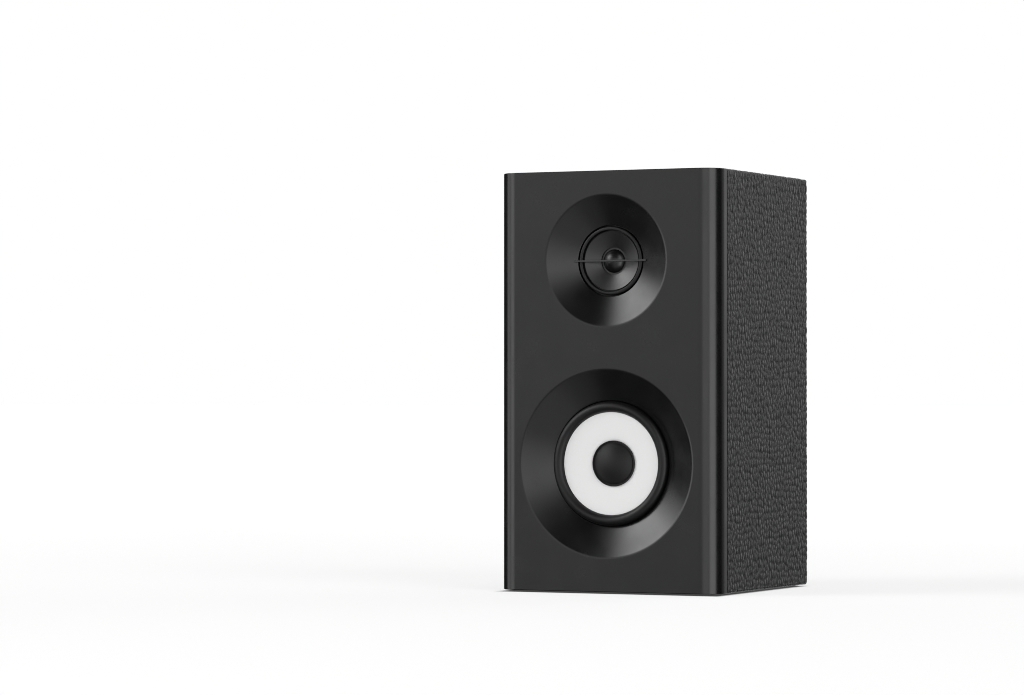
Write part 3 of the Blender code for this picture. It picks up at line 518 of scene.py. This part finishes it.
def make_strip():
    """A narrow strip light close to the left edge of the front, which draws the line along it."""
    edge = Vector((-HALF_WIDTH + 4 * MM, FRONT + 4 * MM, MIDDLE_Z))
    ends = []
    for azimuth in (STRIP_FROM, STRIP_TO):
        turn = math.radians(azimuth)
        ends.append(edge + Vector((math.sin(turn), -math.cos(turn), 0)) * STRIP_AWAY)
    data = bpy.data.lights.new("strip", "AREA")
    data.shape, data.size, data.size_y = "RECTANGLE", (ends[1] - ends[0]).length, STRIP_HEIGHT
    data.energy = STRIP_LEVEL * math.pi * data.size * data.size_y
    strip = bpy.data.objects.new("strip", data)
    strip.location = (ends[0] + ends[1]) / 2
    look_along(strip, edge - strip.location)
    strip.visible_camera = strip.visible_diffuse = False
    bpy.context.scene.collection.objects.link(strip)


# Half the floor's width in metres, its glow round the object, and what distance adds to the glow,
# so that the floor near the object is darker: a painted shade.
FLOOR_REACH, FLOOR_GLOW, FAR_GLOW_OVER_PAINTED_SHADE = 60.0, 0.745, 0.055


def make_floor():
    """White paper. It glows a little, as it would under a wide light, except under the object,
    where the glow falls away as a painted shadow; it also glows less near the object, a painted
    shade.
    """
    verts = [(x * FLOOR_REACH, y * FLOOR_REACH, 0) for x, y in ((-1, -1), (1, -1), (1, 1), (-1, 1))]
    floor = new_piece("floor", verts, [(0, 1, 2, 3)])
    paper = Finish((0.34, 0.34, 0.34), 0.9)
    paper.shader.inputs["Specular IOR Level"].default_value = 0.0
    paper.shader.inputs["Emission Color"].default_value = (1, 1, 1, 1)
    split = paper.tree.nodes.new("ShaderNodeSeparateXYZ")
    paper.tree.links.new(paper.place, split.inputs["Vector"])
    beyond = []
    across = split.outputs["X"], 0.0, HALF_WIDTH
    along = split.outputs["Y"], (FRONT + BACK) / 2, (BACK - FRONT) / 2
    for value, middle, half in (across, along):
        for operation, number in (("SUBTRACT", middle), ("ABSOLUTE", 0.0), ("SUBTRACT", half)):
            node = paper.tree.nodes.new("ShaderNodeMath")
            node.operation = operation
            node.inputs[1].default_value = number
            paper.tree.links.new(value, node.inputs[0])
            value = node.outputs[0]
        beyond.append(value)
    outside = paper.tree.nodes.new("ShaderNodeMath")
    outside.operation = "MAXIMUM"
    for value, socket in zip(beyond, outside.inputs):
        paper.tree.links.new(value, socket)
    # Painted shadow: the glow falls to 0.05 under the object. Painted shade: the glow is lower
    # within 0.15 m of the object and reaches full strength by 1.2 m.
    glow_with_painted_shadow = paper.tree.nodes.new("ShaderNodeMath")
    for socket, (low, high, start, end) in zip(glow_with_painted_shadow.inputs, (
            (0.05, FLOOR_GLOW, -2 * MM, 3 * MM), (0, FAR_GLOW_OVER_PAINTED_SHADE, 0.15, 1.2))):
        paper.tree.links.new(paper.between(outside.outputs[0], low, high, start, end), socket)
    paper.tree.links.new(glow_with_painted_shadow.outputs[0], paper.shader.inputs["Emission Strength"])
    floor.data.materials.append(paper.material)
    floor.visible_glossy = False


# ---------------------------------------------------------------- cabinet

BAFFLE_CORNER, BAFFLE_EDGE, BAFFLE_DEPTH = 12.0, 0.5, 15.0
LIP, THROAT_LIP = 0.8, 0.3
WOOFER_MOUTH, WOOFER_THROAT, WOOFER_DEPTH = 54.75, 36.7, 8.0
TWEETER_MOUTH, TWEETER_THROAT, TWEETER_DEPTH = 38.4, 20.8, 7.2


def baffle_loop(inset, z):
    """Plan of the baffle: flat front, round vertical edges, straight sides."""
    half, corner = HALF_WIDTH / MM - inset, BAFFLE_CORNER - inset
    left = arc((-half + corner, inset + corner), corner, 180, 270, 18)
    right = arc((half - corner, inset + corner), corner, 270, 360, 18)
    plan = [(-half, BAFFLE_DEPTH), *left, *right, (half, BAFFLE_DEPTH)]
    return [(x * MM, FRONT + y * MM, z) for x, y in plan]


def block(name, half_x, half_z, radius, near, far):
    """A box with round corners, round the cabinet's axis, between two depths."""
    middle = Vector((0, 0, MIDDLE_Z))
    loops = [level_loop(half_x, half_z, radius, middle, FRONT + y * MM) for y in (near, far)]
    return lofted(name, loops)


def make_baffle():
    ends = [(BAFFLE_EDGE * (1 - math.sin(t)), BAFFLE_EDGE * (1 - math.cos(t))) for t in
            (math.pi / 2 * i / 4 for i in range(5))]
    rising = [baffle_loop(inset, LOW + rise * MM) for inset, rise in ends]
    falling = [baffle_loop(inset, HIGH - rise * MM) for inset, rise in reversed(ends)]
    baffle = lofted("front_shell", rising + falling)
    half_x, half_z = HALF_WIDTH / MM, (HIGH - LOW) / MM / 2
    carve(baffle, block("step", half_x - 1.5, half_z - 1.5, 0.5, 13, 15.7), "UNION")
    carve(baffle, block("tongue", half_x - 10.2, half_z - 10.2, 3, 12, 22), "UNION")
    carve(baffle, block("pocket", half_x - 12.8, half_z - 12.8, 2, 3, 27))
    # Axis, the recess's outer and inner radius and its depth, and its seat's radius and depth.
    drivers = (
        (WOOFER, WOOFER_MOUTH, WOOFER_THROAT, WOOFER_DEPTH, 49.0, 9.6),
        (TWEETER, TWEETER_MOUTH, TWEETER_THROAT, TWEETER_DEPTH, 29.0, 10.2),
    )
    for axis, mouth, _, _, seat_radius, seat in drivers:
        profile = [(0, 1.5), (mouth + 2, 1.5), (seat_radius, seat), (0, seat)]
        carve(baffle, turned("seat", profile, axis, FINE), "UNION")
    for axis, mouth, throat, depth, *_ in drivers:
        slope = (mouth - throat) / depth
        profile = [(0, -1), (mouth + slope, -1), (throat, depth), (throat, 20), (0, 20)]
        carve(baffle, turned("mouth", profile, axis, FINE))
    round_lips(baffle, drivers)
    smooth_with_flats(baffle, 40)
    dress(baffle, "front_baffle")


def on_circle(vert, axis, radius, depth):
    away = math.hypot(vert.co.x - axis.x, vert.co.z - axis.z)
    return abs(vert.co.y - FRONT - depth * MM) < 0.02 * MM and abs(away - radius * MM) < 0.05 * MM


def round_lips(baffle, drivers):
    """Rounds the edge where each recess meets the front face, and the edge of its throat."""
    bm = bmesh.new()
    bm.from_mesh(baffle.data)
    for axis, mouth, throat, depth, *_ in drivers:
        for radius, level, reach in ((mouth, 0.0, LIP), (throat, depth, THROAT_LIP)):
            edges = [e for e in bm.edges if all(on_circle(v, axis, radius, level) for v in e.verts)]
            bmesh.ops.bevel(
                bm, geom=edges, offset=reach * MM, segments=3, profile=0.5, affect="EDGES")
    bm.to_mesh(baffle.data)
    bm.free()


# A pebble's size round the box and along it, its depth, and the seed and size of the random table.
GRAIN_CELL, GRAIN_DEPTH, GRAIN_SEED, GRAIN_TABLE = (3.9, 2.8), 0.55, 7, 512
# The film's outer corners, its fold at the back, how far it passes the CAD's back, and its mesh's
# spacing round the box and along it.
FILM_CORNER, FILM_FOLD, FILM_INSET, FILM_STEP = 1.3, 0.5, 1.2, (0.70, 0.50)
CORNER_STEPS = 4


def grain_height(u, v):
    """Leather grain at points u, v in mm: 0 in the creases, near 1 on the pebbles."""
    sway = (
        0.7 * np.sin(u / 7.1 + np.sin(v / 9.3) * 1.7),
        0.9 * np.sin(v / 6.3 + np.sin(u / 6.7) * 1.9),
    )
    x, y = (u + sway[0]) / GRAIN_CELL[0], (v + sway[1]) / GRAIN_CELL[1]
    cell_x, cell_y = np.floor(x).astype(int), np.floor(y).astype(int)
    table = np.random.default_rng(GRAIN_SEED).random((GRAIN_TABLE, GRAIN_TABLE, 3))
    nearest = np.full(x.shape, 9.0)
    second = np.full(x.shape, 9.0)
    tall = np.zeros(x.shape)
    for dx in (-2, -1, 0, 1, 2):
        for dy in (-2, -1, 0, 1, 2):
            column, row = cell_x + dx, cell_y + dy
            random = table[column % GRAIN_TABLE, row % GRAIN_TABLE]
            away = np.hypot(
                x - column - 0.1 - 0.8 * random[..., 0], y - row - 0.1 - 0.8 * random[..., 1])
            closer = away < nearest
            second = np.where(closer, nearest, np.minimum(second, away))
            tall = np.where(closer, random[..., 2], tall)
            nearest = np.where(closer, away, nearest)
    crease = np.clip((second - nearest) / 0.5, 0, 1)
    crease = crease * crease * (3 - 2 * crease)
    dome = 1 - np.clip(nearest / 0.8, 0, 1) ** 2
    return (0.62 * crease + 0.38 * dome) * (0.78 + 0.22 * tall)


def film_path():
    """Points round the box in mm and their outward normals, a list for each side. The first side is
    the bottom, from the lower left corner."""
    half_x, half_z, r = HALF_WIDTH / MM, (HIGH - LOW) / MM / 2, FILM_CORNER
    paths = []
    sides = (
        ((-1, -1), (1, -1), 270), ((1, -1), (1, 1), 0),
        ((1, 1), (-1, 1), 90), ((-1, 1), (-1, -1), 180),
    )
    for (ax, az), (bx, bz), facing in sides:
        start = np.array([ax * (half_x - r), az * (half_z - r)])
        end = np.array([bx * (half_x - r), bz * (half_z - r)])
        normal = np.array([math.cos(math.radians(facing)), math.sin(math.radians(facing))])
        count = round(np.linalg.norm(end - start) / FILM_STEP[0])
        path = [(start + (end - start) * i / count, normal) for i in range(count + 1)]
        for i in range(1, CORNER_STEPS + 1):
            turn = math.radians(facing + 90 * i / CORNER_STEPS)
            path.append((end, np.array([math.cos(turn), math.sin(turn)])))
        paths.append(path)
    return paths


def make_film():
    """The film's four sides, with the grain in their shape."""
    r, fold = FILM_CORNER, FILM_FOLD
    length = (BACK - FILM_FRONT) / MM + FILM_INSET
    # Each row's reach from the corner's centre, its depth, and its share of the grain.
    sections = [(r - 0.5, 0.0, 0.0), (r - 0.12, 0.0, 0.0), (r, 0.35, 0.15)]
    depths = np.linspace(0.9, length - fold, round((length - fold - 0.9) / FILM_STEP[1]) + 1)
    sections += [(r, depth, 1.0) for depth in depths]
    for i in range(1, CORNER_STEPS + 1):
        turn = math.pi / 2 * i / CORNER_STEPS
        reach, depth = r - fold + fold * math.cos(turn), length - fold + fold * math.sin(turn)
        sections.append((reach, depth, 1.0 - 0.1 * i))
    sections += [(r - fold - 0.8 * i, length, 0.6) for i in range(1, 12)]
    sections.append((r - 9.5, length - 0.1, 0.0))
    sections.append((r - 9.6, length - FILM_INSET, 0.0))
    start = 0.0
    for name, path in zip(("film_bottom", "film_right", "film_top", "film_left"), film_path()):
        steps = [0.0] + [
            max(np.linalg.norm(b[0] - a[0]), r * math.acos(min(1, float(a[1] @ b[1]))))
            for a, b in zip(path, path[1:])
        ]
        along = start + np.cumsum(steps)
        start = along[-1]
        build_film(name, path, along, sections)


def build_film(name, path, along, sections):
    run = np.cumsum([0] + [math.dist(a[:2], b[:2]) for a, b in zip(sections, sections[1:])])
    u, v = np.meshgrid(along, run)
    height = grain_height(u, v)
    verts = []
    fold_start = (BACK - FILM_FRONT) / MM + FILM_INSET - FILM_FOLD
    for row, (reach, depth, share) in enumerate(sections):
        turned_in = min(1.0, max(0.0, (depth - fold_start) / FILM_FOLD))
        for column, (point, normal) in enumerate(path):
            sink = GRAIN_DEPTH * (0.5 - height[row, column]) * share
            if reach < 0:  # inwards across the back, mitred at the corners
                place = point + np.sign(point) * reach
            else:
                place = point + normal * (reach - sink * (1 - turned_in))
            y = FILM_FRONT + (depth - sink * turned_in) * MM
            verts.append((place[0] * MM, y, MIDDLE_Z + place[1] * MM))
    columns = len(path)
    faces = []
    for row in range(len(sections) - 1):
        base = row * columns
        for i in range(base, base + columns - 1):
            faces.append((i, i + 1, i + columns + 1, i + columns))
    film = new_piece(name, verts, faces, 60)
    # The grain's height, which the vinyl's finish also uses to paint shade into the creases.
    grain = film.data.attributes.new("grain", "FLOAT", "POINT")
    grain.data.foreach_set("value", height.astype(np.float32).ravel())
    dress(film, "vinyl_wrap")


def make_back():
    low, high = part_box("back_panel")
    half_x, half_z = (high.x - low.x) / 2 / MM, (high.z - low.z) / 2 / MM
    middle = (low + high) / 2
    edge, chamfer = 0.4, 0.12
    levels = (
        (0.0, low.y), (0.0, high.y - edge * MM), (chamfer, high.y - chamfer * MM), (edge, high.y))
    loops = [level_loop(half_x - inset, half_z - inset, 0.5, middle, y, 3) for inset, y in levels]
    panel = lofted("back_board", loops)
    hole = [(0, -20), (14.8, -20), (14.8, 5), (0, 5)]
    carve(panel, turned("port_hole", hole, Vector((PORT.x, BACK, PORT.z)), 96))
    hole = [level_loop(28.3, 21.3, 1, CUP, BACK + y * MM) for y in (-20, 5)]
    carve(panel, lofted("cup_hole", hole))
    for index in range(4):
        place = centre(f"cup_screw_{index + 1}")
        hole = [(0, -7.5), (1.7, -7.5), (1.7, 5), (0, 5)]
        carve(panel, turned("pilot", hole, Vector((place.x, BACK, place.z)), 24))
    smooth_with_flats(panel, 32)
    dress(panel, "back_panel")


def make_feet():
    for index in range(4):
        node = f"foot_pad_{index + 1}"
        low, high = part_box(node)
        radius, height = (high.x - low.x) / 2 / MM, (high.z - low.z) / MM
        profile = [(0, 0), (radius, 0, 0.25), (radius, height, 0.1), (0, height)]
        middle = (low + high) / 2
        origin = Vector((middle.x, middle.y, low.z))
        dress(turned(f"pad_{index + 1}", fillet(profile, closed=False), origin, 72, UP), node)


# ---------------------------------------------------------------- drivers

def half_roll(middle, foot, roll, wall, inner, outer):
    """Closed section of a half-roll edge. inner and outer are its glued rims' radius and depth."""
    near, far = middle - roll, middle + roll
    section = [(inner[0], inner[1] + wall), inner, (near - 0.3, inner[1]), (near, inner[1] - 0.3)]
    section += arc((middle, foot), roll, 180, 360, 28)
    section += fillet([(far, foot + 0.2), (far, outer[1], 0.5), (outer[0], outer[1])], closed=False)
    section += [(outer[0], outer[1] + wall), (far - wall, outer[1] + wall)]
    section += arc((middle, foot), roll - wall, 360, 180, 28)
    return section + [(near + wall, inner[1] + wall)]


def flex(obj, axis, inner, outer):
    """Bakes a ring's placement into its mesh and works out each point's share of the way from
    radius inner to radius outer; nothing bends the ring with it.
    """
    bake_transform(obj)
    places = np.array([v.co for v in obj.data.vertices])
    radius = np.hypot(places[:, 0] - axis.x, places[:, 2] - axis.z) / MM
    share = np.clip((radius - inner) / (outer - inner), 0, 1)
    share = share * share * (3 - 2 * share)


def dress_flexing(obj, node, axis, inner, outer):
    """Gives a ring its finish, hides the CAD node that it stands for, and bakes its placement."""
    obj.data.materials.append(finishes[slot_of[node]])
    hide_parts(node)
    flex(obj, axis, inner, outer)


def dome(rim, base, crest, steps=24):
    """Profile of a cap of a sphere, from its crest to its rim's radius and depth."""
    rise = base - crest
    sphere = (rim * rim + rise * rise) / (2 * rise)
    reach = math.degrees(math.asin(rim / sphere))
    points = arc((0, crest + sphere), sphere, -90, -90 + reach, steps)
    return [(0.0, crest)] + points[1:]


def make_woofer():
    section = half_roll(33.2, 7.5, 3.05, 0.6, (28.4, 8.8), (41.0, 9.9))
    surround = turned("woofer_edge", section, WOOFER, FINE)
    dress_flexing(surround, "woofer_surround", WOOFER, 30.2, 36.2)
    section = fillet([(30.0, 7.45, 0.15), (30.0, 8.05, 0.15), (10.9, 13.2), (10.9, 12.6)])
    dress(turned("woofer_diaphragm", section, WOOFER, FINE), "woofer_cone")
    outside = dome(12.0, 11.2, 7.4)
    rim = [(12.0, 11.2), (12.1, 11.6, 0.1), (12.8, 11.6, 0.1), (12.85, 10.8, 0.1),
           (13.4, 10.8, 0.2), (13.4, 11.8, 0.1), (12.0, 11.9)]
    inside = [(r, d + 0.5) for r, d in reversed(dome(11.5, 11.2, 7.5))]
    cap = turned("woofer_cap", outside + fillet(rim, closed=False)[1:] + inside, WOOFER, FINE)
    dress(cap, "woofer_dust_cap", finish="dust_cap")
    make_spider()


def make_spider():
    """Corrugated cloth disc behind the cone."""
    waves, steps, start, end, level = 3, 72, 12.4, 25.0, 18.8
    face = [(r, level + 0.6 * math.sin(math.tau * waves * (r - start) / (end - start)))
            for r in np.linspace(start, end, steps + 1)]
    face = [(10.9, level), *face, (28.0, level)]
    rear = [(r, depth + 0.45) for r, depth in reversed(face)]
    spider = turned("woofer_suspension", face + rear, WOOFER, FINE)
    dress_flexing(spider, "woofer_spider", WOOFER, 11.5, 25.5)


def make_tweeter():
    outside = [(15.8, 10.0), (15.8, 9.6), (18.0, 9.6, 0.2), (18.0, 6.85, 0.55), (20.0, 6.85, 0.95),
               (20.0, 9.9, 0.2), (20.5, 9.9), (20.5, 10.2)]
    inside = [(19.65, 10.2), (19.65, 7.25, 0.6), (18.35, 7.25, 0.3), (18.35, 10.0)]
    section = fillet(outside + inside)
    ring = turned("tweeter_edge", section, TWEETER, FINE)
    dress_flexing(ring, "tweeter_ring", TWEETER, 18.0, 20.0)
    section = fillet([(17.1, 8.35, 0.12), (17.1, 8.75, 0.12), (8.0, 12.1), (8.0, 11.7)])
    dress(turned("tweeter_diaphragm", section, TWEETER, FINE), "tweeter_cone")
    outside = dome(6.9, 12.4, 8.1) + [(8.7, 12.4), (8.7, 12.75)]
    inside = [(r, d + 0.4) for r, d in reversed(dome(6.4, 12.0, 8.1))]
    dress(turned("tweeter_cap", outside + inside, TWEETER, FINE), "tweeter_dome")

    low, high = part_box("tweeter_bar")
    half_z, near, far = (high.z - low.z) / 2 / MM, (low.y - FRONT) / MM, (high.y - FRONT) / MM
    section = fillet([
        (half_z, near, 0.25), (half_z, far, 0.25), (-half_z, far, 0.25), (-half_z, near, 0.25)])
    loops = [[(x, FRONT + y * MM, TWEETER.z + z * MM) for z, y in section] for x in (low.x, high.x)]
    dress(lofted("tweeter_guard", loops, 40), "tweeter_bar", finish="guard_bar")


# ---------------------------------------------------------------- back fittings

def make_port():
    lip, inner_end = CUP_LIP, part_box("port_tube")[0].y
    length = (lip - inner_end) / MM
    origin = Vector((PORT.x, lip, PORT.z))
    bore, flare, flange, flange_back, tube = 12.5, 5.0, 22.0, -2.7, 14.5
    section = arc((bore + 3, -length + 3), 3, 270, 180, 12)
    section += arc((bore + flare, -flare), flare, 180, 90, 20)
    rim = [(flange - 2, 0), (flange, 0, 1.2), (flange, flange_back, 0.2), (tube, flange_back)]
    section += fillet(rim, closed=False)
    section += [(tube, -length + 4), (bore + 3.6, -length + 1.4)]
    dress(turned("port_flare", section, origin), "port_tube")


CUP_WELL = 16.0
QUARTER = [math.pi / 2 * i / 5 for i in range(6)]


def post_foot(colour):
    """The point where a binding post's axis meets the floor of the cup."""
    middle = centre(f"post_{colour}_stud")
    return Vector((middle.x, CUP_LIP - CUP_WELL * MM, middle.z))


def make_cup():
    """Recessed terminal cup: its outer body, flange, mouth, walls and floor. Each loop is half its
    width and height, its corner radius, and its distance below the lip."""
    def at(half_x, half_z, radius, depth):
        return level_loop(half_x, half_z, radius, CUP, CUP_LIP - depth * MM, 8)
    outside = [(28, 21, 2, 18.5), (28, 21, 2, 2.7), (37.7, 27.7, 8, 2.7),
               (38, 28, 8, 2.4), (38, 28, 8, 1.0)]
    edge, mouth = [], []
    for t in QUARTER:
        inset, flare = 1 - math.cos(t), 1.2 * (1 - math.sin(t))
        edge.append((38 - inset, 28 - inset, 8, 1 - math.sin(t)))
        mouth.append((26 + flare, 19 + flare, 4, 1.2 * (1 - math.cos(t))))
    well = [(25.6, 18.6, 3.8, 15.0), (25.3, 18.3, 3.6, 15.7), (24.6, 17.6, 3.2, CUP_WELL)]
    cup = lofted("terminal_well", [at(*loop) for loop in outside + edge[1:] + mouth + well])
    for index in range(4):
        place = centre(f"cup_screw_{index + 1}")
        origin = Vector((place.x, CUP_LIP, place.z))
        sink = [(0, 2), (3.3, 2), (3.3, -1.8), (1.7, -1.8), (1.7, -6), (0, -6)]
        carve(cup, turned("sink", sink, origin, 48))
    for colour in ("red", "black"):
        hole = [(0, -30), (3.3, -30), (3.3, 2), (0, 2)]
        carve(cup, turned("post_hole", hole, post_foot(colour), 48))
    smooth_with_flats(cup, 35)
    dress(cup, "terminal_cup")


def make_screw(name, node, head, height):
    """Pan-head screw with a cross recess, pointing into the box from its head."""
    low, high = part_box(node)
    middle = (low + high) / 2
    top = Vector((middle.x, high.y, middle.z))
    length = (high.y - low.y) / MM
    profile = [(0, 0), (head * 0.75, -0.12, 0.5), (head, -height * 0.75, 0.4),
               (head, -height, 0.1), (1.4, -height), (1.4, -length + 1.4), (0, -length)]
    screw = turned(name, fillet(profile, closed=False), top, 40)
    for arm_x, arm_z in ((1.55, 0.32), (0.32, 1.55)):
        loops = [[(middle.x + sx * arm_x * k * MM, y, middle.z + sz * arm_z * k * MM)
                  for sx, sz in ((1, 1), (-1, 1), (-1, -1), (1, -1))]
                 for k, y in ((0.75, top.y - 1.0 * MM), (1.05, top.y + 0.3 * MM))]
        carve(screw, lofted("slot", loops))
    smooth(screw, 35)
    dress(screw, node)


def make_post(colour):
    """Binding post: collar, stud, washer and ribbed knob, on the floor of the cup."""
    node, floor = f"post_{colour}_", post_foot(colour)
    section = fillet([(3.35, 0.3), (7.2, 0.3, 0.2), (7.2, 2.6, 0.5), (3.35, 2.6, 0.2)])
    dress(turned(node + "base", section, floor, 96), node + "collar")
    section = fillet([(0, -9), (3, -9, 0.4), (3, 13.2, 0.3), (2.45, 13.8, 0.2), (2.05, 13.8, 0.15),
                      (2.05, 2), (0, 1.4)], closed=False)
    dress(turned(node + "socket", section, floor, 72), node + "stud")
    section = fillet([(3.35, 2.9, 0.15), (6.0, 2.9, 0.25), (6.0, 3.7, 0.25), (3.35, 3.7, 0.15)])
    dress(turned(node + "clamp", section, floor, 72), node + "washer")
    section = fillet([(3.35, 4.0, 0.2), (6.2, 4.0, 0.3), (7.0, 5.0, 0.4), (7.0, 13.4, 0.8),
                      (6.0, 14.8, 0.6), (4.2, 14.8, 0.4), (3.35, 14.0, 0.2)])
    below_ribs = max(i for i, (radius, depth) in enumerate(section) if depth < 5.6 and radius > 6.5)
    section[below_ribs + 1:below_ribs + 1] = [(7.0, 5.6 + i * 0.7) for i in range(11)]
    dress(turned(node + "grip", section, floor, 240, ribs=(24, 0.45, 5.5, 12.7)), node + "knob")


def dress_hidden_nodes():
    for name, node in frame["nodes"].items():
        node.data.materials.clear()
        node.data.materials.append(finishes[slot_of[name]])


make_camera()
make_world()
make_strip()
make_floor()
bpy.context.scene.view_settings.view_transform = "Standard"

dress_hidden_nodes()
make_baffle()
make_film()
make_back()
make_feet()
make_woofer()
make_tweeter()
make_port()
make_cup()
for index in range(4):
    make_screw(f"cup_fixing_{index + 1}", f"cup_screw_{index + 1}", 2.9, 1.4)
make_post("red")
make_post("black")
